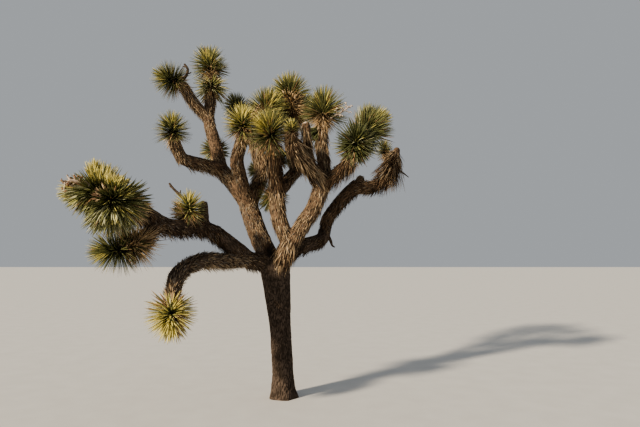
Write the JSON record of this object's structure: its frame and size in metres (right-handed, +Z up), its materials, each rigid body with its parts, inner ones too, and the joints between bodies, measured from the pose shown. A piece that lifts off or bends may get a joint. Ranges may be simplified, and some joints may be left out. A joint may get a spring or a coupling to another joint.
{
  "type": "joshua tree",
  "caption": "Joshua tree with a thick furrowed trunk, forking shaggy limbs, round heads of stiff dagger leaves and a low bough that reaches forward and to the left.",
  "frame": {"origin": "middle of the flat cut under the trunk, at ground level", "axes": "+Z up, +X to the viewer's right, +Y away from the viewer"},
  "size_m": [3.8159, 3.1675, 4.6014],
  "materials": {
    "bark": "rough furrowed bark and dry leaf thatch",
    "leaves": "stiff waxy yellow-green blades",
    "dead_leaves": "dry brown blades"
  },
  "bodies": {
    "root": {"trunk": "bark", "low_bough_inner": "bark", "low_bough_outer": "bark", "low_bough_tip_front": "bark", "low_bough_tip_left": "bark", "low_bough_drop": "bark", "low_bough_stub": "bark", "drooping_bough_inner": "bark", "drooping_bough_outer": "bark", "left_leader_lower": "bark", "left_leader_upper": "bark", "left_arm": "bark", "left_arm_tip": "bark", "left_riser": "bark", "left_riser_left": "bark", "left_riser_right": "bark", "inner_riser": "bark", "middle_riser": "bark", "back_riser": "bark", "right_stem": "bark", "centre_bough": "bark", "centre_riser": "bark", "centre_arm": "bark", "centre_arm_riser": "bark", "right_bough": "bark", "shaggy_arm": "bark", "dead_stub": "bark", "right_riser": "bark", "right_arm": "bark", "right_arm_fork": "bark", "far_bough_low": "bark", "far_bough_middle": "bark", "far_bough_knob": "bark", "far_bough_end": "bark", "head_low_front": "leaves", "head_low_left": "leaves", "head_low_drop": "leaves", "head_low_spur": "leaves", "head_drooping": "leaves", "head_left_arm": "leaves", "head_left_back": "leaves", "head_top_left": "leaves", "head_top": "leaves", "head_inner": "leaves", "head_back_left": "leaves", "head_middle": "leaves", "head_middle_small": "leaves", "head_centre_front": "leaves", "head_centre_small": "leaves", "head_hanging": "leaves", "head_centre_back": "leaves", "head_centre_far": "leaves", "head_shaggy": "leaves", "head_right": "leaves", "head_right_arm": "leaves", "head_right_fork": "leaves", "head_far_spur": "leaves", "head_far_dead": "dead_leaves"}
  },
  "joints": []
}
